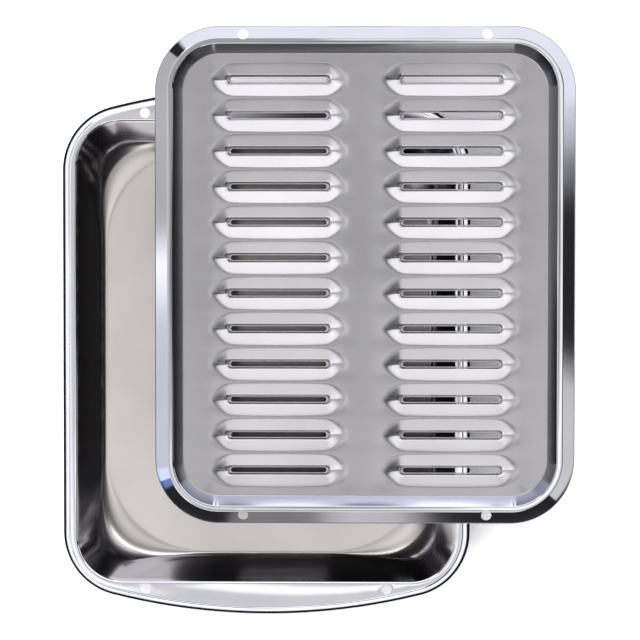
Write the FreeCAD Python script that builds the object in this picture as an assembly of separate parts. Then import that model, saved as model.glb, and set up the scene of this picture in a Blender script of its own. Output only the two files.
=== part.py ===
import FreeCAD, Part
import math
import os

from FreeCAD import Vector

# Broiler pan: a deep drip pan, and a slotted rack that lies across its rim
# Millimetres, +Z up, +Y towards the back. The origin is the middle of the pan's underside.

# Sheet metal
PAN_SHEET = 0.55
RACK_SHEET = 0.50

# Drip pan, tub: steep walls, and a floor whose edge rounds off more at the corners
PAN_DEPTH = 41.3
OPENING_WIDTH = 299.7
OPENING_LENGTH = 365.5
OPENING_CORNER = 35.0
WALL_DRAFT = 20.5
FLOOR_RADIUS = 5.5
FLOOR_CORNER = 80.0
CORNER_EASE = 11.0
RIM_BEND = 1.6

# Drip pan, rim: narrow at the sides, and drawn out into a curved handle at each end
SIDE_FLANGE = 6.2
HANDLE_REACH = 20.9
END_FLANGE = 7.3
HANDLE_CORNER = 46.0
RIM_SKIRT_RUN = 5.6
RIM_SKIRT_DROP = 7.0
RIM_SKIRT_BEND = 1.8
RIM_CURL = 1.5
RIM_CURL_TURN = 180.0

# Broiler rack, raised rim round a sunken field, and how far it laps past the pan's opening
RACK_SIDE_LAP = 15.25
RACK_END_LAP = 12.85
RACK_CORNER = 50.5
RACK_DISH_DEPTH = 8.0
RACK_WALL_RUN = 7.4
RACK_LAND = 4.0
RACK_SKIRT_RUN = 10.2
RACK_SKIRT_DROP = 6.2
RACK_EDGE_DROP = 1.4
RACK_BEND = 1.2

# Broiler rack, two columns of slotted valleys, as many rows as fit
ROW_PITCH = 28.0
FIELD_END_GAP = 5.0
FIELD_SIDE_GAP = 21.8
COLUMN_GAP = 28.6
RIDGE_LAND = 0.8
VALLEY_DEPTH = 4.2
VALLEY_END = 13.4
VALLEY_HIP = 24.0
NOSE_SLOPE = 33.0

# Broiler rack, slots with turned-down lips
SLOT_SETBACK = 2.5
SLOT_WIDTH = 3.9
LIP_RUN = 1.75
LIP_END_RUN = 3.6
LIP_SLOPE = 50.0

# Hanging holes in both pieces, placed from the corners of the pan's opening
HOLE_DIAMETER = 8.0
HOLE_INSET_X = 54.25
HOLE_OUTSET_Y = 5.75

# Where the rack lies: level on the pan's rim, shifted to the right and to the back
RACK_SHIFT_X = 78.0
RACK_SHIFT_Y = 60.5
SEAT_GAP = 0.05

# How finely round forms are drawn: the tub's levels, the folds, the curl and the ends of a slot
BOWL_STEPS = 4
WALL_STEPS = 3
BEND_STEPS = 2
FOLD_STEP = math.radians(50.0)
CURL_SIDES = 3
SLOT_END_SIDES = 3

# How closely faces join, and how far a cutting shape reaches past the sheet
SEW = 1e-4
CUT_REACH = 10.0

# Sizes that follow from those above
WALL_TURN = math.radians(90.0 - WALL_DRAFT)
INNER_DEPTH = PAN_DEPTH - PAN_SHEET
WALL_RUN = INNER_DEPTH * math.tan(math.radians(WALL_DRAFT))
FLOOR_RUN = FLOOR_RADIUS * math.tan(WALL_TURN / 2)
FLANGE_WIDTH = OPENING_WIDTH + 2 * SIDE_FLANGE
FLANGE_PEAK = OPENING_LENGTH / 2 + HANDLE_REACH
HANDLE_RISE = HANDLE_REACH - END_FLANGE
RACK_WIDTH = OPENING_WIDTH + 2 * RACK_SIDE_LAP
RACK_LENGTH = OPENING_LENGTH + 2 * RACK_END_LAP
RACK_RIM_RUN = RACK_WALL_RUN + RACK_LAND + RACK_SKIRT_RUN
FIELD_WIDTH = RACK_WIDTH - 2 * RACK_RIM_RUN
FIELD_LENGTH = RACK_LENGTH - 2 * RACK_RIM_RUN
ROWS = math.floor((FIELD_LENGTH - 2 * FIELD_END_GAP) / ROW_PITCH)
VALLEY_LENGTH = (FIELD_WIDTH - 2 * FIELD_SIDE_GAP - COLUMN_GAP) / 2
VALLEY_STRAIGHT = VALLEY_LENGTH - 2 * VALLEY_END
COLUMN_SPACING = VALLEY_LENGTH + COLUMN_GAP
SLOT_LENGTH = VALLEY_STRAIGHT - 2 * SLOT_SETBACK
VALLEY_HALF = (ROW_PITCH - RIDGE_LAND) / 2
LIP_TOP = -VALLEY_DEPTH * (1 - (SLOT_WIDTH / 2 + LIP_RUN) / VALLEY_HALF)
LIP_BOTTOM = LIP_TOP - LIP_RUN * math.tan(math.radians(LIP_SLOPE))
RACK_SHIFT_Z = PAN_DEPTH + SEAT_GAP - LIP_BOTTOM

UP = Vector(0, 0, 1)


# Plan outlines, as convex rounds joined by straight runs, counter-clockwise
# Each round is its centre, its radius, and the angles where it starts and ends.

def rounded_rectangle(width, length, radius):
    """The rounds of a rectangle with its corners rounded."""
    across = width / 2 - radius
    along = length / 2 - radius
    quarter = math.pi / 2
    corners = [(across, along), (-across, along), (-across, -along), (across, -along)]
    return [(x, y, radius, k * quarter, (k + 1) * quarter) for k, (x, y) in enumerate(corners)]


def handled_outline(width, peak, corner, rise):
    """The rounds of straight sides, round corners and a shallow arc that rises at each end."""
    across = width / 2 - corner
    arc = corner + (across ** 2 + rise ** 2) / (2 * rise)
    tilt = math.asin(across / (arc - corner))
    along = peak - arc + (arc - corner) * math.cos(tilt)
    rounds = []
    for turn in (0, math.pi):
        way = math.cos(turn)
        middle = turn + math.pi / 2
        rounds.append((way * across, way * along, corner, turn, middle - tilt))
        rounds.append((0.0, way * (peak - arc), arc, middle - tilt, middle + tilt))
        rounds.append((-way * across, way * along, corner, middle + tilt, turn + math.pi))
    return rounds


def grown(rounds, amount):
    """The same outline moved outwards all the way round."""
    return [(x, y, radius + amount, start, end) for x, y, radius, start, end in rounds]


def on_round(one, angle, z=0.0):
    x, y, radius = one[:3]
    return Vector(x + radius * math.cos(angle), y + radius * math.sin(angle), z)


def outline_wire(rounds, z):
    """A closed wire through the rounds at one height."""
    edges = []
    for k, one in enumerate(rounds):
        start, end = one[3], one[4]
        following = rounds[(k + 1) % len(rounds)]
        middle = (start + end) / 2
        arc = Part.Arc(on_round(one, start, z), on_round(one, middle, z), on_round(one, end, z))
        edges.append(arc.toShape())
        leave = on_round(one, end, z)
        meet = on_round(following, following[3], z)
        if leave.distanceToPoint(meet) > 1e-6:
            edges.append(Part.makeLine(leave, meet))
    return Part.Wire(edges)


def plate(rounds, bottom, top):
    """A flat plate with that outline, between two heights."""
    return Part.Face(outline_wire(rounds, bottom)).extrude(UP * (top - bottom))


def polygon_face(points):
    """A flat face with corners at those points."""
    return Part.Face(Part.makePolygon(points + points[:1]))


# Folded sheet sections, drawn in XZ with X pointing out of the object

def turned(vector, angle):
    """A vector in XZ turned to the left by an angle."""
    cos, sin = math.cos(angle), math.sin(angle)
    return Vector(vector.x * cos - vector.z * sin, 0, vector.x * sin + vector.z * cos)


def folded_sheet(corners, bend, sheet, curl=None):
    """The face of a sheet folded at the corners of its upper side, which lies on the left.

    bend is the radius inside each fold. curl, if given, rolls the far edge under to the
    right, as its outer radius and the angle that it turns through in degrees.
    """
    points = [Vector(x, 0, z) for x, z in corners]
    ways = [(b - a).normalize() for a, b in zip(points, points[1:])]
    normal = turned(ways[0], -math.pi / 2)
    skins = [(points[0], points[0] + normal * sheet)]
    for corner, before, after in zip(points[1:], ways, ways[1:]):
        turn = math.atan2(before.x * after.z - before.z * after.x, before.dot(after))
        side = math.copysign(1.0, turn)
        radius = bend if side > 0 else bend + sheet
        start = corner - before * radius * math.tan(abs(turn) / 2)
        centre = start - normal * side * radius
        sides = math.ceil(abs(turn) / FOLD_STEP)
        for k in range(sides + 1):
            spoke = turned(normal, turn * k / sides)
            skins.append((centre + spoke * side * radius, centre + spoke * (side * radius + sheet)))
        normal = spoke
    skins.append((points[-1], points[-1] + normal * sheet))
    if curl:
        radius, turn = curl
        centre = points[-1] + normal * radius
        for k in range(1, CURL_SIDES + 1):
            spoke = turned(normal, -math.radians(turn) * k / CURL_SIDES)
            skins.append((centre - spoke * radius, centre - spoke * (radius - sheet)))
    edge = [upper for upper, lower in skins] + [lower for upper, lower in reversed(skins)]
    return polygon_face(edge)


def swept_round(face, rounds):
    """A section carried all the way round an outline: straight runs pushed, rounds revolved."""
    pieces = []
    for k, one in enumerate(rounds):
        x, y, radius, start, end = one
        following = rounds[(k + 1) % len(rounds)]
        section = face.copy()
        section.rotate(Vector(), UP, math.degrees(start))
        section.translate(on_round(one, start))
        pieces.append(section.revolve(Vector(x, y, 0), UP, math.degrees(end - start)))
        leave = on_round(one, end)
        run = on_round(following, following[3]) - leave
        if run.Length > 1e-6:
            section = face.copy()
            section.rotate(Vector(), UP, math.degrees(end))
            section.translate(leave)
            pieces.append(section.extrude(run))
    return pieces[0].fuse(pieces[1:]).removeSplitter()


# Drip pan

def tub_levels():
    """The tub's inner face from floor to flange, in three stretches: bowl, wall and bend.

    A level is how far it lies outside the flat floor, its height above the floor, how
    steep the face is there, and the radius of its corners.
    """
    def corner(rise):
        return OPENING_CORNER + (FLOOR_CORNER - OPENING_CORNER) * (1 - rise / INNER_DEPTH) ** CORNER_EASE

    bowl = []
    for k in range(BOWL_STEPS + 1):
        slope = WALL_TURN * k / BOWL_STEPS
        rise = FLOOR_RADIUS * (1 - math.cos(slope))
        bowl.append((FLOOR_RADIUS * math.sin(slope), rise, slope, corner(rise)))
    radius = RIM_BEND + PAN_SHEET
    bend = []
    for k in range(BEND_STEPS + 1):
        slope = WALL_TURN * (1 - k / BEND_STEPS)
        grow = WALL_RUN + FLOOR_RUN + radius * (math.tan(WALL_TURN / 2) - math.sin(slope))
        rise = INNER_DEPTH - radius * (1 - math.cos(slope))
        rounded = corner(bend[0][1]) + grow - bend[0][0] if bend else corner(rise)
        bend.append((grow, rise, slope, rounded))
    wall = []
    for k in range(WALL_STEPS + 1):
        grow, rise = (low + (high - low) * k / WALL_STEPS for low, high in zip(bowl[-1][:2], bend[0][:2]))
        wall.append((grow, rise, WALL_TURN, corner(rise)))
    return bowl, wall, bend


def tub_wire(level, skin):
    """The outline of the tub's inner face at one level, or of its outer face a sheet away."""
    grow, rise, slope, corner = level
    out = grow - WALL_RUN - FLOOR_RUN + skin * math.sin(slope)
    rounds = rounded_rectangle(OPENING_WIDTH + 2 * out, OPENING_LENGTH + 2 * out,
                               corner + skin * math.sin(slope))
    return outline_wire(rounds, PAN_SHEET + rise - skin * math.cos(slope))


def tub_with_flange(flange):
    """The drawn tub and its flat flange, as one sheet closed by an upright edge."""
    faces = []
    for skin in (0.0, PAN_SHEET):
        wires = [[tub_wire(level, skin) for level in stretch] for stretch in tub_levels()]
        for stretch in wires:
            faces += Part.makeLoft(stretch, False, True).Faces
        faces.append(Part.Face(wires[0][0]))
        opening = Part.Face(wires[-1][-1])
        faces += Part.Face(outline_wire(flange, PAN_DEPTH - skin)).cut(opening).Faces
    edge = outline_wire(flange, PAN_DEPTH - PAN_SHEET).extrude(UP * PAN_SHEET)
    sheet = Part.Compound(faces + edge.Faces)
    sheet.sewShape()
    tub = Part.Solid(sheet.Shells[0])
    tub.fix(SEW, SEW, SEW)
    return tub


def hole_cutters(bottom, top):
    """Four upright drills, one near each corner."""
    across = OPENING_WIDTH / 2 - HOLE_INSET_X
    along = OPENING_LENGTH / 2 + HOLE_OUTSET_Y
    places = [Vector(x, y, bottom) for x in (-across, across) for y in (-along, along)]
    return [Part.makeCylinder(HOLE_DIAMETER / 2, top - bottom, place) for place in places]


def drip_pan():
    """The deep pan: drawn tub, flat flange with handles, skirt and rolled edge."""
    flange = handled_outline(FLANGE_WIDTH, FLANGE_PEAK, HANDLE_CORNER, HANDLE_RISE)
    lead = PAN_SHEET + RIM_SKIRT_BEND
    skirt = [(-lead, PAN_DEPTH), (0, PAN_DEPTH), (RIM_SKIRT_RUN, PAN_DEPTH - RIM_SKIRT_DROP)]
    section = folded_sheet(skirt, RIM_SKIRT_BEND, PAN_SHEET, (RIM_CURL, RIM_CURL_TURN))
    rim = swept_round(section, flange)
    tub = tub_with_flange(grown(flange, -lead))
    holes = hole_cutters(PAN_DEPTH - CUT_REACH, PAN_DEPTH + CUT_REACH)
    return tub.fuse(rim).cut(holes).removeSplitter()


# Broiler rack

def valley(skin, top):
    """The boat-shaped hollow of one valley up to a height, or the same moved out by a sheet."""
    straight = VALLEY_STRAIGHT / 2
    side_slope = math.atan2(VALLEY_DEPTH, VALLEY_HALF)
    depth = VALLEY_DEPTH + skin / math.cos(side_slope)
    spread = (depth + top) / VALLEY_DEPTH
    half = VALLEY_HALF * spread
    reach = straight + VALLEY_HIP * spread
    keel = [Vector(-straight, 0, -depth), Vector(straight, 0, -depth)]
    deck = [Vector(-reach, 0, top), Vector(-straight, -half, top), Vector(straight, -half, top),
            Vector(reach, 0, top), Vector(straight, half, top), Vector(-straight, half, top)]
    faces = [[deck[0], deck[1], keel[0]], [deck[1], deck[2], keel[1], keel[0]],
             [deck[2], deck[3], keel[1]], [deck[3], deck[4], keel[1]],
             [deck[4], deck[5], keel[0], keel[1]], [deck[5], deck[0], keel[0]], deck]
    hull = Part.Solid(Part.Shell([polygon_face(face) for face in faces]))
    nose_slope = math.radians(NOSE_SLOPE)
    end = straight + VALLEY_END + skin / math.sin(nose_slope)
    foot = end - depth / math.tan(nose_slope)
    tip = end + top / math.tan(nose_slope)
    side = [Vector(-foot, -half, -depth), Vector(foot, -half, -depth), Vector(tip, -half, top),
            Vector(-tip, -half, top)]
    return hull.common(polygon_face(side).extrude(Vector(0, 2 * half, 0)))


def slot_outline(grow_end, grow_side, z):
    """The corners of a slot with round ends at one height, grown along and across."""
    radius = SLOT_WIDTH / 2 + grow_side
    run = SLOT_LENGTH / 2 + grow_end - radius
    points = []
    for way in (1, -1):
        for k in range(SLOT_END_SIDES + 1):
            angle = math.pi * (k / SLOT_END_SIDES - 0.5)
            points.append(Vector(way * (run + radius * math.cos(angle)), way * radius * math.sin(angle), z))
    return points


def slot_funnel(skin):
    """The space inside a slot's turned-down lip, or the same with the sheet round it."""
    wall = skin / math.sin(math.radians(LIP_SLOPE))
    low = slot_outline(wall, wall, LIP_BOTTOM)
    high = slot_outline(LIP_END_RUN + wall, LIP_RUN + wall, LIP_TOP)
    faces = [polygon_face(low), polygon_face(high)]
    for k in range(len(low)):
        faces.append(polygon_face([low[k - 1], low[k], high[k], high[k - 1]]))
    return Part.Solid(Part.Shell(faces))


def slot_places():
    """The middle of each slot, by column and row."""
    for column in (-0.5, 0.5):
        for row in range(ROWS):
            yield Vector(column * COLUMN_SPACING, (row - (ROWS - 1) / 2) * ROW_PITCH, 0)


def repeated(shape):
    """A copy of a shape at each slot."""
    copies = []
    for place in slot_places():
        copy = shape.copy()
        copy.translate(place)
        copies.append(copy)
    return copies


def broiler_rack():
    """The slotted rack, before it is laid on the pan: its field's upper face is at zero."""
    field_corner = RACK_CORNER - RACK_RIM_RUN
    field = rounded_rectangle(FIELD_WIDTH, FIELD_LENGTH, field_corner)
    crest = RACK_WALL_RUN + RACK_LAND
    skirt_foot = RACK_DISH_DEPTH - RACK_SKIRT_DROP
    lead = RACK_SHEET + RACK_BEND
    corners = [(-lead, 0), (0, 0), (RACK_WALL_RUN, RACK_DISH_DEPTH), (crest, RACK_DISH_DEPTH),
               (RACK_RIM_RUN, skirt_foot), (RACK_RIM_RUN, skirt_foot - RACK_EDGE_DROP)]
    rim = swept_round(folded_sheet(corners, RACK_BEND, RACK_SHEET), field)
    web = plate(grown(field, -lead), -RACK_SHEET, 0)
    troughs = repeated(valley(RACK_SHEET, -RACK_SHEET / 2))
    lips = repeated(slot_funnel(RACK_SHEET))
    body = web.fuse([rim] + troughs + lips)
    through = polygon_face(slot_outline(0, 0, LIP_BOTTOM - CUT_REACH)).extrude(UP * CUT_REACH)
    hollow = slot_funnel(0).fuse([through, valley(0, RACK_SHEET)])
    rack = body.cut(repeated(hollow)).cut(hole_cutters(-CUT_REACH, RACK_DISH_DEPTH + CUT_REACH))
    return rack.removeSplitter()


def save(shape, name):
    """Write one piece, and say what it holds."""
    shape.exportStep(os.path.join("parts", name + ".step"))
    box = shape.BoundBox
    size = "{:.1f} x {:.1f} x {:.1f}".format(box.XLength, box.YLength, box.ZLength)
    print(name, "solids", len(shape.Solids), "valid", shape.isValid(),
          "volume", round(shape.Volume), "size", size)


os.makedirs("parts", exist_ok=True)
save(drip_pan(), "drip_pan")
rack = broiler_rack()
rack.translate(Vector(RACK_SHIFT_X, RACK_SHIFT_Y, RACK_SHIFT_Z))
save(rack, "broiler_rack")
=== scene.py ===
import math

import bmesh
import bpy
import numpy as np
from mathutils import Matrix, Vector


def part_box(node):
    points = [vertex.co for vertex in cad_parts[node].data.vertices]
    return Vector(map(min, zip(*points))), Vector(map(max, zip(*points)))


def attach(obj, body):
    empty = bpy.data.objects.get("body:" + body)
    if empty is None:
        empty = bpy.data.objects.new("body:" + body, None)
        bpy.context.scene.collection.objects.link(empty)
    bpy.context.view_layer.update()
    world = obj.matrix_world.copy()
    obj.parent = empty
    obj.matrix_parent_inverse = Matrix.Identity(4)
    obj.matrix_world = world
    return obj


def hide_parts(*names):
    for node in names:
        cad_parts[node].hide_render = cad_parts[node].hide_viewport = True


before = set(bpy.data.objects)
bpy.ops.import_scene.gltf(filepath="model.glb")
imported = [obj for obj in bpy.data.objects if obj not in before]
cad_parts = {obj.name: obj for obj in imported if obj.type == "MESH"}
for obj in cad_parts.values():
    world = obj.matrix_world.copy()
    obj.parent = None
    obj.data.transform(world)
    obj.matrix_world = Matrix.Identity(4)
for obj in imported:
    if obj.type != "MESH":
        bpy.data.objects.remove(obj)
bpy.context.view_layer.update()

MM = 0.001

# Drip pan, tub
PAN_SHEET = 0.55 * MM
OPENING_WIDTH = 299.7 * MM
OPENING_LENGTH = 365.5 * MM
OPENING_CORNER = 35.0 * MM
WALL_DRAFT = math.radians(20.5)
FLOOR_RADIUS = 5.5 * MM
FLOOR_CORNER = 80.0 * MM
CORNER_EASE = 11.0
RIM_BEND = 1.6 * MM

# Drip pan, rim
SIDE_FLANGE = 6.2 * MM
HANDLE_REACH = 20.9 * MM
END_FLANGE = 7.3 * MM
HANDLE_CORNER = 46.0 * MM
RIM_SKIRT_RUN = 5.45 * MM
RIM_SKIRT_DROP = 7.0 * MM
RIM_SKIRT_BEND = 1.8 * MM
RIM_CURL = 1.5 * MM
RIM_CURL_TURN = math.radians(180.0)

# Broiler rack, rim
RACK_SHEET = 0.5 * MM
RACK_CORNER = 50.5 * MM
RACK_DISH_DEPTH = 8.0 * MM
RACK_WALL_RUN = 7.4 * MM
RACK_LAND = 4.0 * MM
RACK_SKIRT_RUN = 10.2 * MM
RACK_SKIRT_DROP = 6.2 * MM
RACK_EDGE_DROP = 1.4 * MM
RACK_BEND = 1.2 * MM

# Broiler rack, valleys and slots
ROWS = 12
ROW_PITCH = 28.0 * MM
COLUMN_SPACING = 136.0 * MM
RIDGE_LAND = 0.8 * MM
VALLEY_DEPTH = 4.2 * MM
VALLEY_STRAIGHT = 80.6 * MM
VALLEY_END = 13.4 * MM
VALLEY_HIP = 24.0 * MM
NOSE_SLOPE = math.radians(33.0)
SLOT_LENGTH = 75.6 * MM
SLOT_WIDTH = 3.9 * MM
LIP_RUN = 1.75 * MM
LIP_END_RUN = 3.6 * MM
LIP_SLOPE = math.radians(50.0)
CELL_MARGIN = 57.0 * MM

# How soft a valley's pressed edges are: floor, long edge, end edge, hip, nose and lip
KEEL_SOFT = 0.5 * MM
RIDGE_SOFT = 0.18 * MM
END_SOFT = 1.5 * MM
HIP_SOFT = 2.0 * MM
NOSE_SOFT = 3.0 * MM
LIP_SOFT = 0.12 * MM

# The lip's nearly flat ledge: its share of the lip's run, and of the lip's drop that it takes
LEDGE_SHARE = 0.4
LEDGE_DROP = 0.08

# Hanging holes
HOLE_DIAMETER = 8.0 * MM
HOLE_SPACING_X = 191.2 * MM
HOLE_SPACING_Y = 377.0 * MM
HOLE_SIDES = 40
DRILL_REACH = 10.0 * MM

# Where the tub is satin, up to the first slope, and polished, from the second
SATIN_SLOPE = math.radians(38)
POLISHED_SLOPE = math.radians(62)

# How satin the tub's outer face is, and how far past the field the rack's rim still is
OUTER_SATIN = 0.6
RACK_SATIN_RUN = 0.5 * MM

# Painted shade, a dark colour mixed into the plating: the tub's walls a little, the undersides
# nearly and the hems wholly
PAINTED_SHADE_TINT = (0.02, 0.02, 0.024)
WALL_PAINTED_SHADE = 0.35
UNDERSIDE_PAINTED_SHADE = 0.93

# The share of painted shade from which the plating loses its metal shine
SHADE_METAL_FADE = 0.6

# Where the painted shade on the hems starts and where it is full, as shares of the pan's skirt,
# and as heights over and under the top of the rack's upright edge
PAN_HEM_SHADE_START = 0.5
PAN_HEM_SHADE_FULL = 0.64
RACK_HEM_SHADE_START = 0.5 * MM
RACK_HEM_SHADE_FULL = 0.3 * MM

# Plating: tints and roughness, each polished and satin, then its fine and its broad unevenness
PAN_TINTS = (0.80, 0.80, 0.85), (0.73, 0.685, 0.67)
RACK_TINTS = (0.62, 0.62, 0.65), (0.53, 0.52, 0.545)
PAN_ROUGHNESS = 0.045, 0.21
RACK_ROUGHNESS = 0.045, 0.24
FINE_SCALE = 900.0
FINE_DETAIL = 4.0
FINE_ROUGHNESS = 0.02
BROAD_SCALE = 14.0
BROAD_DETAIL = 2.0
DENT_DEPTH = 0.12 * MM
MOTTLE = 0.14

# Floor: its shade for light, its white for the eye, and how much of that the metal mirrors
FLOOR_HALF = 6.0
FLOOR_SHADE = (0.32, 0.32, 0.32)
FLOOR_WHITE = (2.4, 2.4, 2.4)
FLOOR_MIRRORED = 0.6

# The studio's dark and its softboxes. Each has its azimuth and half its width, its angle from
# straight up and half its height, how softly it ends, all in degrees, its strength and its tint.
STUDIO_DARK = (0.028, 0.028, 0.031)
SOFTBOXES = [
    (0, 180, 10, 4.5, 4, 0.5),
    (-110, 105, 10, 4.5, 4, 0.17),
    (180, 55, 34, 21, 5, 0.72),
    (-95, 30, 24, 10, 5, 0.12),
    (-50, 30, 23, 7, 6, 0.5),
    (90, 50, 22, 7, 5, 0.08),
    (0, 60, 11, 5, 4, 0.12),
    (20, 75, 7.8, 1.2, 1.2, 0.7),
    (-90, 40, 6.9, 0.6, 0.7, 0.6),
    (66.5, 60, 66, 12, 5, 1.25, (0.98, 0.98, 1.07)),
    (80, 48, 38, 6, 8, 1.95),
    (160.5, 19.5, 66, 12, 2, 0.65),
    (192, 12, 66, 12, 1.5, 0.9, (0.97, 0.98, 1.08)),
    (-157, 7, 62, 10, 4, 0.6, (0.35, 0.55, 1.3)),
    (-23, 19, 66, 8, 1.5, 0.85),
    (-108, 34, 46, 11, 8, 1.35),
    (-90.6, 2.7, 66, 10, 1, 0.28),
    (-89.4, 0.8, 66, 10, 1, 0.5),
    (90, 60, 88, 8, 3, 0.3, (0.85, 0.9, 1.25)),
    (91.6, 0.8, 88, 8, 0.8, 1.4, (0.95, 0.95, 1.1)),
    (87, 0.9, 88, 8, 0.8, 1.7, (0.95, 0.95, 1.1)),
    (155, 24, 88, 7, 3, 0.13),
    (-90, 30, 88, 5, 12, 0.08),
    (-86.5, 1.5, 88, 7, 0.8, 0.4),
]

# Camera
CAMERA_PLACE = (64.4 * MM, 67.2 * MM, 1541.5 * MM)
CAMERA_TURN = (-1.60, 0.83, 0.04)
CAMERA_LENS = 106.8
CAMERA_SENSOR = 36.0
CAMERA_RANGE = (0.05, 50.0)

# Taken from the parts in model.glb
pan_low, pan_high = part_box("drip_pan")
rack_low, rack_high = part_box("broiler_rack")
PAN_DEPTH = pan_high.z - pan_low.z
PAN_MIDDLE = (pan_low + pan_high) / 2
RACK_MIDDLE = (rack_low + rack_high) / 2
RACK_FIELD_Z = rack_high.z - RACK_DISH_DEPTH

# Sizes that follow from those above
WALL_TURN = math.pi / 2 - WALL_DRAFT
INNER_DEPTH = PAN_DEPTH - PAN_SHEET
WALL_RUN = INNER_DEPTH * math.tan(WALL_DRAFT)
FLOOR_RUN = FLOOR_RADIUS * math.tan(WALL_TURN / 2)
HANDLE_RISE = HANDLE_REACH - END_FLANGE
RACK_RIM_RUN = RACK_WALL_RUN + RACK_LAND + RACK_SKIRT_RUN
VALLEY_HALF = (ROW_PITCH - RIDGE_LAND) / 2
LIP_TOP = -VALLEY_DEPTH * (1 - (SLOT_WIDTH / 2 + LIP_RUN) / VALLEY_HALF)
LIP_BOTTOM = LIP_TOP - LIP_RUN * math.tan(LIP_SLOPE)

# A height between the field's upper skin, at zero, and its lower skin, a sheet below
BETWEEN_SKINS = -0.75 * RACK_SHEET

# Mesh density
SIDE_STEPS = 10
CORNER_STEPS = 32
FOLD_STEPS = 7
FLOOR_BEND_STEPS = 14
WALL_STEPS = 8
RIM_BEND_STEPS = 8
SPLIT = 1.0 * MM
SHARP_FOLD = math.radians(40)
WELD = 0.002 * MM

# The flat strips that lead from the tub's floor and the rack's field into their bends
FLOOR_LEAD = 2.0 * MM
RACK_LEAD = 2.0 * MM

# Mesh of a slot's cell: its rings over the lip, the valley's side and the ridge, and how far
# the rings stretch towards the slot's ends
FAN_STEPS = 36
SLOT_STEPS = 8
LIP_RINGS = (0, 0.15, 0.28, 0.36, 0.43, 0.52, 0.7, 0.88, 1.0, 1.12, 1.34)
SIDE_RINGS = 9
SIDE_START = 0.6 * MM
RIDGE_RINGS = 6
RIDGE_START = 1.1 * MM
UNDERSIDE_RINGS = (0, 4, 8, 10, 13, 16, 19, 22)
END_STRETCH = 0.48
STRETCH_RUN = 4.0 * MM

# Keeps a division from zero
TINY = 1e-9


# Outlines, a quarter at a time and then mirrored, all with the same number of points

def steps(count):
    return np.arange(count) / count


def mirrored(quarter):
    """A closed outline from its quarter, which runs from the +X axis to the +Y axis."""
    x, y = np.array(quarter).T
    second = np.stack([-x[-2::-1], y[-2::-1]], 1)
    half = np.concatenate([np.stack([x, y], 1), second])
    return np.concatenate([half, -half[1:-1]])


def arc_points(centre, radius, start, end, count, last=False):
    angle = start + (end - start) * (np.arange(count + 1) / count if last else steps(count))
    return np.stack([centre[0] + radius * np.cos(angle), centre[1] + radius * np.sin(angle)], 1)


def line_points(start, end, count):
    share = steps(count)[:, None]
    return np.array(start) * (1 - share) + np.array(end) * share


def rounded_rectangle(half_x, half_y, radius):
    """The outline of a rectangle with round corners."""
    inner = (half_x - radius, half_y - radius)
    quarter = np.concatenate([
        line_points((half_x, 0), (half_x, inner[1]), SIDE_STEPS),
        arc_points(inner, radius, 0, math.pi / 2, CORNER_STEPS),
        line_points((inner[0], half_y), (0, half_y), SIDE_STEPS),
        [(0, half_y)]])
    return mirrored(quarter)


def handled_outline(grow):
    """The flange's outline with its drawn-out ends, moved outwards by an amount."""
    half_x = OPENING_WIDTH / 2 + SIDE_FLANGE + grow
    peak = OPENING_LENGTH / 2 + HANDLE_REACH + grow
    corner = HANDLE_CORNER + grow
    across = half_x - corner
    arc = corner + (across ** 2 + HANDLE_RISE ** 2) / (2 * HANDLE_RISE)
    tilt = math.asin(across / (arc - corner))
    along = peak - arc + (arc - corner) * math.cos(tilt)
    quarter = np.concatenate([
        line_points((half_x, 0), (half_x, along), SIDE_STEPS),
        arc_points((across, along), corner, 0, math.pi / 2 - tilt, CORNER_STEPS),
        arc_points((0, peak - arc), arc, math.pi / 2 - tilt, math.pi / 2, SIDE_STEPS, True)])
    return mirrored(quarter)


# Folded sections

def folded_sheet(corners, bend, sheet, curl=None):
    """The two skins of a sheet folded at its corners: lists of (out, up), upper side and lower.

    curl, if given, rolls the far edge under, as its outer radius and the angle it turns.
    """
    points = np.array(corners, float)
    ways = np.diff(points, axis=0)
    ways /= np.linalg.norm(ways, axis=1)[:, None]

    def turned(v, angle):
        return np.array([v[0] * math.cos(angle) - v[1] * math.sin(angle),
                         v[0] * math.sin(angle) + v[1] * math.cos(angle)])

    normal = turned(ways[0], -math.pi / 2)
    upper, lower = [points[0]], [points[0] + normal * sheet]
    for corner, before, after in zip(points[1:], ways, ways[1:]):
        turn = math.atan2(before[0] * after[1] - before[1] * after[0], before @ after)
        side = math.copysign(1, turn)
        radius = bend if side > 0 else bend + sheet
        centre = corner - before * radius * math.tan(abs(turn) / 2) - normal * side * radius
        for k in range(FOLD_STEPS + 1):
            spoke = turned(normal, turn * k / FOLD_STEPS)
            upper.append(centre + spoke * side * radius)
            lower.append(centre + spoke * (side * radius + sheet))
        normal = spoke
    upper.append(points[-1])
    lower.append(points[-1] + normal * sheet)
    if curl:
        radius, turn = curl
        centre = points[-1] + normal * radius
        for k in range(1, 2 * FOLD_STEPS + 1):
            spoke = turned(normal, -turn * k / (2 * FOLD_STEPS))
            upper.append(centre - spoke * radius)
            lower.append(centre - spoke * (radius - sheet))
    return upper, lower


def finer(points):
    """The same section with its long runs split."""
    split = [points[0]]
    for start, end in zip(points, points[1:]):
        parts = math.ceil(np.linalg.norm(end - start) / SPLIT)
        split += [start + (end - start) * k / parts for k in range(1, parts + 1)]
    return split


# Meshes

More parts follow.
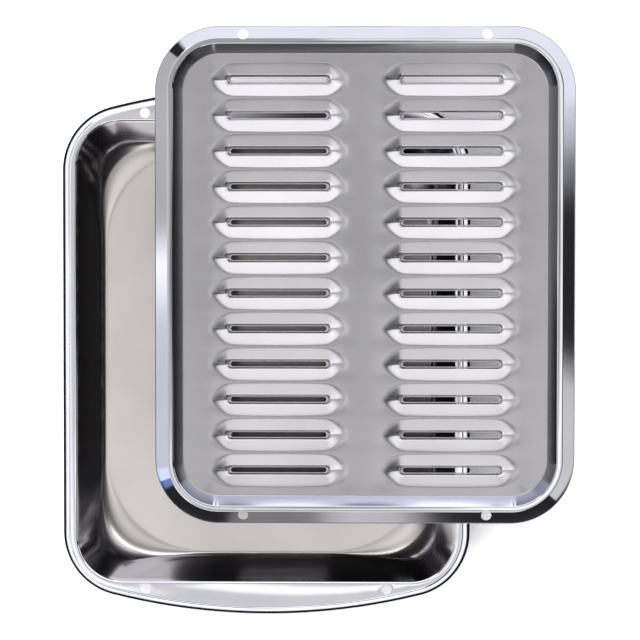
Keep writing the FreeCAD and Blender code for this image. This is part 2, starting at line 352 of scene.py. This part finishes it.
class Shell:
    """A mesh built ring by ring, whose vertices say how satin they are and how much painted shade
    they carry.
    """

    def __init__(self):
        self.mesh = bmesh.new()
        self.satin = self.mesh.verts.layers.float.new("satin")
        self.painted_shade = self.mesh.verts.layers.float.new("painted_shade")

    def ring(self, outline, height, satin, painted_shade=0.0):
        verts = [self.mesh.verts.new((x, y, height)) for x, y in outline]
        for vert in verts:
            vert[self.satin] = satin
            vert[self.painted_shade] = painted_shade
        return verts

    def bridge(self, rings):
        """Quads between each ring and the next."""
        for low, high in zip(rings, rings[1:]):
            count = len(low)
            for k in range(count):
                self.mesh.faces.new((low[k], low[(k + 1) % count], high[(k + 1) % count], high[k]))

    def to_object(self, name, middle):
        """The finished object at its place."""
        bmesh.ops.recalc_face_normals(self.mesh, faces=self.mesh.faces)
        data = bpy.data.meshes.new(name)
        self.mesh.to_mesh(data)
        self.mesh.free()
        piece = bpy.data.objects.new(name, data)
        bpy.context.scene.collection.objects.link(piece)
        piece.location = middle
        return piece


def drill(piece, middle, low, high):
    """Cut the four hanging holes through a piece, and shade it smooth between sharp edges."""
    mesh = bmesh.new()
    for x in (-HOLE_SPACING_X / 2, HOLE_SPACING_X / 2):
        for y in (-HOLE_SPACING_Y / 2, HOLE_SPACING_Y / 2):
            made = bmesh.ops.create_cone(mesh, cap_ends=True, segments=HOLE_SIDES,
                                         depth=high - low, radius1=HOLE_DIAMETER / 2,
                                         radius2=HOLE_DIAMETER / 2)
            bmesh.ops.translate(mesh, verts=made["verts"],
                                vec=(middle[0] + x, middle[1] + y, (low + high) / 2))
    data = bpy.data.meshes.new("drills")
    mesh.to_mesh(data)
    mesh.free()
    drills = bpy.data.objects.new("drills", data)
    bpy.context.scene.collection.objects.link(drills)
    cut = piece.modifiers.new("holes", "BOOLEAN")
    cut.object = drills
    cut.operation = "DIFFERENCE"
    cut.solver = "EXACT"
    bpy.context.view_layer.update()
    shown = piece.evaluated_get(bpy.context.evaluated_depsgraph_get())
    holed = bpy.data.meshes.new_from_object(shown)
    piece.modifiers.clear()
    piece.data = holed
    bpy.data.objects.remove(drills)
    holed.shade_smooth()
    holed.set_sharp_from_angle(angle=SHARP_FOLD)


def smooth_step(start, end, value):
    """A soft climb from nothing at the start to one at the end."""
    share = min(1, max(0, (value - start) / (end - start)))
    return share * share * (3 - 2 * share)


def pan_levels():
    """The tub's inner face, level by level: distance out from the flat floor, height, slope
    and corner radius."""
    def corner(rise):
        ease = (1 - rise / INNER_DEPTH) ** CORNER_EASE
        return OPENING_CORNER + (FLOOR_CORNER - OPENING_CORNER) * ease

    levels = []
    for k in range(FLOOR_BEND_STEPS + 1):
        slope = WALL_TURN * k / FLOOR_BEND_STEPS
        rise = FLOOR_RADIUS * (1 - math.cos(slope))
        levels.append((FLOOR_RADIUS * math.sin(slope), rise, slope, corner(rise)))
    radius = RIM_BEND + PAN_SHEET
    bend = []
    for k in range(RIM_BEND_STEPS + 1):
        slope = WALL_TURN * (1 - k / RIM_BEND_STEPS)
        grow = WALL_RUN + FLOOR_RUN + radius * (math.tan(WALL_TURN / 2) - math.sin(slope))
        rise = INNER_DEPTH - radius * (1 - math.cos(slope))
        rounded = corner(bend[0][1]) + grow - bend[0][0] if bend else corner(rise)
        bend.append((grow, rise, slope, rounded))
    foot = levels[-1]
    for k in range(1, WALL_STEPS):
        grow, rise = (low + (high - low) * k / WALL_STEPS
                      for low, high in zip(foot[:2], bend[0][:2]))
        levels.append((grow, rise, WALL_TURN, corner(rise)))
    return levels + bend


def tub_ring(shell, level, skin, satin):
    """One ring of the tub's inner face, or of its outer face a sheet away."""
    grow, rise, slope, corner = level
    out = grow - WALL_RUN - FLOOR_RUN + skin * math.sin(slope)
    outline = rounded_rectangle(OPENING_WIDTH / 2 + out, OPENING_LENGTH / 2 + out,
                                corner + skin * math.sin(slope))
    return shell.ring(outline, PAN_SHEET + rise - skin * math.cos(slope), satin)


def pan_shell():
    """The whole drip pan as one closed skin."""
    shell = Shell()
    levels = [(-FLOOR_LEAD, 0, 0, FLOOR_CORNER)] + pan_levels()

    # Painted shade: darkens the lower part of the rim's skirt and its rolled curl, as a dark
    # outline
    def painted_shade(height):
        return smooth_step(PAN_DEPTH - PAN_HEM_SHADE_START * RIM_SKIRT_DROP,
                           PAN_DEPTH - PAN_HEM_SHADE_FULL * RIM_SKIRT_DROP, height)

    inner = [tub_ring(shell, level, 0, 0) for level in levels]
    lead = PAN_SHEET + RIM_SKIRT_BEND
    section = [(-lead, PAN_DEPTH), (0, PAN_DEPTH), (RIM_SKIRT_RUN, PAN_DEPTH - RIM_SKIRT_DROP)]
    upper, lower = folded_sheet(section, RIM_SKIRT_BEND, PAN_SHEET, (RIM_CURL, RIM_CURL_TURN))
    rings = inner + [shell.ring(handled_outline(out), height, 0, painted_shade(height))
                     for out, height in finer(upper) + finer(lower)[::-1]]
    outer = [tub_ring(shell, level, PAN_SHEET, OUTER_SATIN) for level in reversed(levels)]
    shell.bridge(rings + outer)
    shell.mesh.faces.new(inner[0])
    shell.mesh.faces.new(outer[-1])
    bmesh.ops.recalc_face_normals(shell.mesh, faces=shell.mesh.faces)
    for ring in inner:
        for vert in ring:
            slope = math.acos(min(1, abs(vert.normal.z)))
            steep = smooth_step(SATIN_SLOPE, POLISHED_SLOPE, slope)
            steep = 1 if vert.co.z > PAN_DEPTH / 2 else steep
            vert[shell.satin] = 1 - steep
            # Painted shade on the tub's steep walls, below the rim's bend
            vert[shell.painted_shade] = WALL_PAINTED_SHADE * steep if vert.co.z < PAN_DEPTH - RIM_BEND else 0.0
    return shell


def soft_above(value, softness):
    """The value where it is above nothing, and nothing below, with a soft knee between."""
    return (value + np.sqrt(value ** 2 + softness ** 2)) / 2


def soft_lesser(a, b, softness):
    return (a + b - np.sqrt((a - b) ** 2 + softness ** 2)) / 2


def valley_depth(x, y):
    """How far the pressed valley lies below the field, from its middle outwards."""
    along = soft_above(np.abs(x) - VALLEY_STRAIGHT / 2, HIP_SOFT)
    across = np.hypot(y, KEEL_SOFT) - KEEL_SOFT
    edge = math.hypot(VALLEY_HALF, KEEL_SOFT) - KEEL_SOFT
    sides = VALLEY_DEPTH * (1 - across / edge - along / VALLEY_HIP)
    nose = (VALLEY_STRAIGHT / 2 + VALLEY_END - np.abs(x)) * math.tan(NOSE_SLOPE)
    softness = RIDGE_SOFT + (END_SOFT - RIDGE_SOFT) * np.clip(along / VALLEY_END, 0, 1)
    return soft_above(soft_lesser(sides, nose, NOSE_SOFT), softness)


def field_height(x, y, out, end):
    """The field's upper face in one slot's cell.

    out is how far a point lies outside the slot's edge, and end is 1 off the slot's ends.
    """
    pressed = -valley_depth(x, y) - valley_depth(x, ROW_PITCH - np.abs(y))
    run = LIP_RUN + (LIP_END_RUN - LIP_RUN) * end
    climb = soft_above(out / run - LEDGE_SHARE, LIP_SOFT / LIP_RUN) / (1 - LEDGE_SHARE)
    lip = LIP_BOTTOM + (LEDGE_DROP * out / run + climb) * (LIP_TOP - LIP_BOTTOM)
    return soft_lesser(pressed, lip, LIP_SOFT)


def cell_levels():
    """Distances from the slot's middle line at which a cell has a ring of points."""
    edge, shoulder = SLOT_WIDTH / 2, SLOT_WIDTH / 2 + LIP_RUN
    lip = edge + LIP_RUN * np.array(LIP_RINGS)
    side = np.linspace(shoulder + SIDE_START, VALLEY_HALF - RIDGE_START, SIDE_RINGS)[1:]
    ridge = np.linspace(VALLEY_HALF - RIDGE_START, ROW_PITCH / 2, RIDGE_RINGS)[1:]
    return np.concatenate([lip, side, ridge])


def cell_rings():
    """One slot's cell as rings of points from the slot's edge to the cell's edge.

    Returns x and y, how far each point is outside the slot, and how far towards its ends.
    """
    levels = cell_levels()
    run = (SLOT_LENGTH - SLOT_WIDTH) / 2
    half = ROW_PITCH / 2
    rings = []
    for level in levels:
        ring = []
        for way, limit in ((1, COLUMN_SPACING / 2), (-1, CELL_MARGIN)):
            room = limit - run
            corner = math.atan2(half, room)
            count = round(FAN_STEPS * corner / math.pi)
            rest = FAN_STEPS // 2 - count + 1
            angles = np.concatenate([np.linspace(-math.pi / 2, -corner, rest)[:-1],
                                     np.linspace(-corner, corner, 2 * count + 1),
                                     np.linspace(corner, math.pi / 2, rest)[1:]])
            for angle in angles:
                cos, sin = math.cos(angle), math.sin(angle)
                if level < levels[-1]:
                    stretch = END_STRETCH * min(1, (level - levels[0]) / STRETCH_RUN)
                    reach = level * (1 + stretch * cos ** 2)
                else:
                    reach = min(half / max(abs(sin), TINY), room / max(cos, TINY))
                ring.append((way * (run + reach * cos), way * reach * sin,
                             reach - levels[0], cos ** 2))
            for k in range(1, SLOT_STEPS):
                share = 1 - 2 * k / SLOT_STEPS
                ring.append((way * run * share, way * level, level - levels[0], 0.0))
        rings.append(ring)
    return np.array(rings)


def rack_field(shell):
    """The slotted field: one cell for each slot, joined edge to edge, with an underside."""
    x, y, out, end = np.moveaxis(cell_rings(), -1, 0)
    z = field_height(x, y, out, end)
    top = np.stack([x, y, z], -1)
    around = np.roll(top, -1, 1) - np.roll(top, 1, 1)
    outward = np.gradient(top, axis=0)
    normal = np.cross(outward, around)
    normal /= np.linalg.norm(normal, axis=-1)[..., None]
    normal *= np.sign(normal[..., 2:])
    normal[-1] = (0, 0, 1)
    under = top - normal * RACK_SHEET
    under[-1, :, 2] = z[-1] - RACK_SHEET
    kept = [*UNDERSIDE_RINGS, len(top) - 1]
    for column in (-1, 1):
        for row in range(ROWS):
            shift = np.array([column * COLUMN_SPACING / 2, (row - (ROWS - 1) / 2) * ROW_PITCH, 0])
            flip = np.array([-column, 1, 1])
            rings = []
            # The field's underside carries painted shade nearly in full, its top none
            for skin, painted_shade in ((under[kept][::-1], UNDERSIDE_PAINTED_SHADE), (top, 0.0)):
                for ring in skin:
                    verts = [shell.mesh.verts.new(point * flip + shift) for point in ring]
                    for vert in verts:
                        vert[shell.satin] = 1.0
                        vert[shell.painted_shade] = painted_shade
                    rings.append(verts)
            shell.bridge(rings)


def fill_margin(shell):
    """Flat faces between the cells' outer edge and the rim's inner edge, above and below."""
    bmesh.ops.remove_doubles(shell.mesh, verts=shell.mesh.verts, dist=WELD)
    for above in (True, False):
        edges = [edge for edge in shell.mesh.edges if edge.is_boundary
                 and (min(vert.co.z for vert in edge.verts) > BETWEEN_SKINS) == above]
        bmesh.ops.triangle_fill(shell.mesh, use_beauty=True, edges=edges, normal=(0, 0, 1))


def rack_shell():
    """The whole broiler rack as one closed skin, its field's upper face at zero."""
    shell = Shell()
    half_x = (rack_high.x - rack_low.x) / 2 - RACK_RIM_RUN
    half_y = (rack_high.y - rack_low.y) / 2 - RACK_RIM_RUN
    corner = RACK_CORNER - RACK_RIM_RUN
    crest = RACK_WALL_RUN + RACK_LAND
    foot = RACK_DISH_DEPTH - RACK_SKIRT_DROP
    section = [(-RACK_LEAD, 0), (0, 0), (RACK_WALL_RUN, RACK_DISH_DEPTH),
               (crest, RACK_DISH_DEPTH), (RACK_RIM_RUN, foot),
               (RACK_RIM_RUN, foot - RACK_EDGE_DROP)]
    upper, lower = folded_sheet(section, RACK_BEND, RACK_SHEET)
    rings = []
    # The rim's underside carries painted shade nearly in full
    for skin, underside_shade in ((upper, 0.0), (lower[::-1], UNDERSIDE_PAINTED_SHADE)):
        for out, height in skin:
            outline = rounded_rectangle(half_x + out, half_y + out, corner + out)
            satin = 1.0 if out < RACK_SATIN_RUN else 0.0
            # Painted shade on the lower edge of the outer skirt, as a dark outline
            painted_shade = smooth_step(foot + RACK_HEM_SHADE_START, foot - RACK_HEM_SHADE_FULL, height)
            rings.append(shell.ring(outline, height, satin, max(painted_shade if out > crest else 0, underside_shade)))
    shell.bridge(rings)
    rack_field(shell)
    fill_margin(shell)
    return shell


# Materials

def material(name):
    made = bpy.data.materials.new(name)
    made.use_nodes = True
    made.node_tree.nodes.clear()
    return made, made.node_tree.nodes, made.node_tree.links


def chrome(name, tints, roughness):
    """Chrome plate, polished or satin where the mesh says so, with painted shade mixed in as a
    dark, less metallic colour where the mesh marks it.
    """
    made, nodes, links = material(name)
    output = nodes.new("ShaderNodeOutputMaterial")
    shader = nodes.new("ShaderNodeBsdfPrincipled")
    shader.inputs["Specular IOR Level"].default_value = 0.0
    links.new(shader.outputs[0], output.inputs["Surface"])
    where = nodes.new("ShaderNodeAttribute")
    where.attribute_name = "satin"
    place = nodes.new("ShaderNodeTexCoord")

    colour = nodes.new("ShaderNodeMix")
    colour.data_type = "RGBA"
    colour.inputs["A"].default_value = (*tints[0], 1)
    colour.inputs["B"].default_value = (*tints[1], 1)
    links.new(where.outputs["Fac"], colour.inputs["Factor"])
    # Painted shade: mixes a dark tint into the colour and takes the metal away where it is strong
    edge = nodes.new("ShaderNodeAttribute")
    edge.attribute_name = "painted_shade"
    shaded_colour = nodes.new("ShaderNodeMix")
    shaded_colour.data_type = "RGBA"
    shaded_colour.inputs["B"].default_value = (*PAINTED_SHADE_TINT, 1)
    links.new(edge.outputs["Fac"], shaded_colour.inputs["Factor"])
    links.new(colour.outputs["Result"], shaded_colour.inputs["A"])
    unshaded_metal = nodes.new("ShaderNodeMapRange")
    unshaded_metal.inputs["From Min"].default_value = 1.0
    unshaded_metal.inputs["From Max"].default_value = SHADE_METAL_FADE
    links.new(edge.outputs["Fac"], unshaded_metal.inputs["Value"])
    links.new(unshaded_metal.outputs[0], shader.inputs["Metallic"])

    fine = nodes.new("ShaderNodeTexNoise")
    fine.inputs["Scale"].default_value = FINE_SCALE
    fine.inputs["Detail"].default_value = FINE_DETAIL
    links.new(place.outputs["Object"], fine.inputs["Vector"])
    rough = nodes.new("ShaderNodeMix")
    rough.data_type = "FLOAT"
    rough.inputs["A"].default_value = roughness[0]
    rough.inputs["B"].default_value = roughness[1]
    links.new(where.outputs["Fac"], rough.inputs["Factor"])
    vary = nodes.new("ShaderNodeMath")
    vary.operation = "MULTIPLY_ADD"
    vary.inputs[1].default_value = FINE_ROUGHNESS
    links.new(fine.outputs["Fac"], vary.inputs[0])
    links.new(rough.outputs["Result"], vary.inputs[2])
    links.new(vary.outputs[0], shader.inputs["Roughness"])

    broad = nodes.new("ShaderNodeTexNoise")
    broad.inputs["Scale"].default_value = BROAD_SCALE
    broad.inputs["Detail"].default_value = BROAD_DETAIL
    links.new(place.outputs["Object"], broad.inputs["Vector"])
    mottle = nodes.new("ShaderNodeMapRange")
    mottle.inputs["To Min"].default_value = 1 - MOTTLE
    mottle.inputs["To Max"].default_value = 1 + MOTTLE
    links.new(broad.outputs["Fac"], mottle.inputs["Value"])
    mottled = nodes.new("ShaderNodeVectorMath")
    mottled.operation = "SCALE"
    links.new(shaded_colour.outputs["Result"], mottled.inputs[0])
    links.new(mottle.outputs[0], mottled.inputs["Scale"])
    links.new(mottled.outputs[0], shader.inputs["Base Color"])
    dents = nodes.new("ShaderNodeBump")
    dents.inputs["Strength"].default_value = 1.0
    dents.inputs["Distance"].default_value = DENT_DEPTH
    links.new(broad.outputs["Fac"], dents.inputs["Height"])
    links.new(dents.outputs["Normal"], shader.inputs["Normal"])
    return made


def floor_material():
    """A pale matt floor that the camera sees as white paper, with the object's shadow kept."""
    made, nodes, links = material("pale_floor")
    output = nodes.new("ShaderNodeOutputMaterial")
    shader = nodes.new("ShaderNodeBsdfDiffuse")
    path = nodes.new("ShaderNodeLightPath")
    seen = path.outputs["Is Camera Ray"]
    for kind in ("Is Glossy Ray", "Is Transmission Ray"):
        either = nodes.new("ShaderNodeMath")
        either.operation = "MULTIPLY_ADD"
        links.new(path.outputs[kind], either.inputs[0])
        either.inputs[1].default_value = FLOOR_MIRRORED
        links.new(seen, either.inputs[2])
        seen = either.outputs[0]
    direct = nodes.new("ShaderNodeMath")
    direct.operation = "SUBTRACT"
    direct.use_clamp = True
    links.new(seen, direct.inputs[0])
    links.new(path.outputs["Diffuse Depth"], direct.inputs[1])
    seen = direct.outputs[0]
    colour = nodes.new("ShaderNodeMix")
    colour.data_type = "RGBA"
    colour.inputs["A"].default_value = (*FLOOR_SHADE, 1)
    colour.inputs["B"].default_value = (*FLOOR_WHITE, 1)
    links.new(seen, colour.inputs["Factor"])
    links.new(colour.outputs["Result"], shader.inputs["Color"])
    links.new(shader.outputs[0], output.inputs["Surface"])
    return made


# Studio

def add_floor():
    mesh = bmesh.new()
    bmesh.ops.create_grid(mesh, x_segments=1, y_segments=1, size=FLOOR_HALF)
    data = bpy.data.meshes.new("floor")
    mesh.to_mesh(data)
    mesh.free()
    floor = bpy.data.objects.new("floor", data)
    floor.location.z = pan_low.z
    floor.data.materials.append(floor_material())
    bpy.context.scene.collection.objects.link(floor)


def studio_world():
    """A dark studio lit by softboxes, white where the camera looks past the object."""
    world = bpy.data.worlds.new("studio")
    world.use_nodes = True
    nodes, links = world.node_tree.nodes, world.node_tree.links
    nodes.clear()
    output = nodes.new("ShaderNodeOutputWorld")
    place = nodes.new("ShaderNodeTexCoord")

    def maths(operation, first, second=None):
        node = nodes.new("ShaderNodeMath")
        node.operation = operation
        for socket, value in zip(node.inputs, (first, second)):
            if value is None or isinstance(value, float):
                socket.default_value = value or 0.0
            else:
                links.new(value, socket)
        return node.outputs[0]

    def along(way):
        node = nodes.new("ShaderNodeVectorMath")
        node.operation = "DOT_PRODUCT"
        node.inputs[1].default_value = way
        links.new(place.outputs["Generated"], node.inputs[0])
        return node.outputs["Value"]

    def within(angle, half, soft):
        """One inside an angle either way, falling softly to nothing past it."""
        fade = nodes.new("ShaderNodeMapRange")
        fade.interpolation_type = "SMOOTHSTEP"
        fade.inputs["From Min"].default_value = math.radians(half + soft)
        fade.inputs["From Max"].default_value = math.radians(half)
        links.new(maths("ABSOLUTE", angle), fade.inputs["Value"])
        return fade.outputs[0]

    total = nodes.new("ShaderNodeRGB")
    total.outputs[0].default_value = (*STUDIO_DARK, 1)
    light = total.outputs[0]
    from_above = maths("ARCCOSINE", along((0, 0, 1)))

    def light_up(azimuth, wide, zenith, high, soft, strength, tint=(1, 1, 1)):
        """Add a softbox that fills an angle either way from its azimuth and its zenith."""
        nonlocal light
        a = math.radians(azimuth)
        turn = maths("ARCTAN2", along((-math.sin(a), math.cos(a), 0)),
                     along((math.cos(a), math.sin(a), 0)))
        shape = maths("MULTIPLY", within(turn, wide, soft),
                      within(maths("SUBTRACT", from_above, math.radians(zenith)), high, soft))
        add = nodes.new("ShaderNodeMix")
        add.data_type = "RGBA"
        add.blend_type = "ADD"
        add.inputs["B"].default_value = tuple(strength * c for c in tint) + (1,)
        links.new(shape, add.inputs["Factor"])
        links.new(light, add.inputs["A"])
        light = add.outputs["Result"]

    for softbox in SOFTBOXES:
        light_up(*softbox)

    shown = nodes.new("ShaderNodeBackground")
    links.new(light, shown.inputs["Color"])
    white = nodes.new("ShaderNodeBackground")
    white.inputs["Color"].default_value = (1, 1, 1, 1)
    path = nodes.new("ShaderNodeLightPath")
    mix = nodes.new("ShaderNodeMixShader")
    links.new(path.outputs["Is Camera Ray"], mix.inputs[0])
    links.new(shown.outputs[0], mix.inputs[1])
    links.new(white.outputs[0], mix.inputs[2])
    links.new(mix.outputs[0], output.inputs["Surface"])
    bpy.context.scene.world = world


def add_camera():
    data = bpy.data.cameras.new("camera")
    data.sensor_width = CAMERA_SENSOR
    data.lens = CAMERA_LENS
    data.clip_start, data.clip_end = CAMERA_RANGE
    camera = bpy.data.objects.new("camera", data)
    camera.location = CAMERA_PLACE
    camera.rotation_euler = [math.radians(angle) for angle in CAMERA_TURN]
    bpy.context.scene.collection.objects.link(camera)
    bpy.context.scene.camera = camera


pan_piece = pan_shell().to_object("pan_sheet", (PAN_MIDDLE.x, PAN_MIDDLE.y, pan_low.z))
drill(pan_piece, PAN_MIDDLE, PAN_DEPTH - DRILL_REACH, PAN_DEPTH + DRILL_REACH)
pan_piece.data.materials.append(chrome("pan_chrome", PAN_TINTS, PAN_ROUGHNESS))
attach(pan_piece, "root")
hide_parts("drip_pan")

rack_piece = rack_shell().to_object("rack_sheet", (RACK_MIDDLE.x, RACK_MIDDLE.y, RACK_FIELD_Z))
drill(rack_piece, RACK_MIDDLE, rack_low.z - DRILL_REACH, rack_high.z + DRILL_REACH)
rack_piece.data.materials.append(chrome("rack_chrome", RACK_TINTS, RACK_ROUGHNESS))
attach(rack_piece, "root")
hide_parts("broiler_rack")

add_floor()
studio_world()
add_camera()
bpy.context.scene.view_settings.view_transform = "Standard"
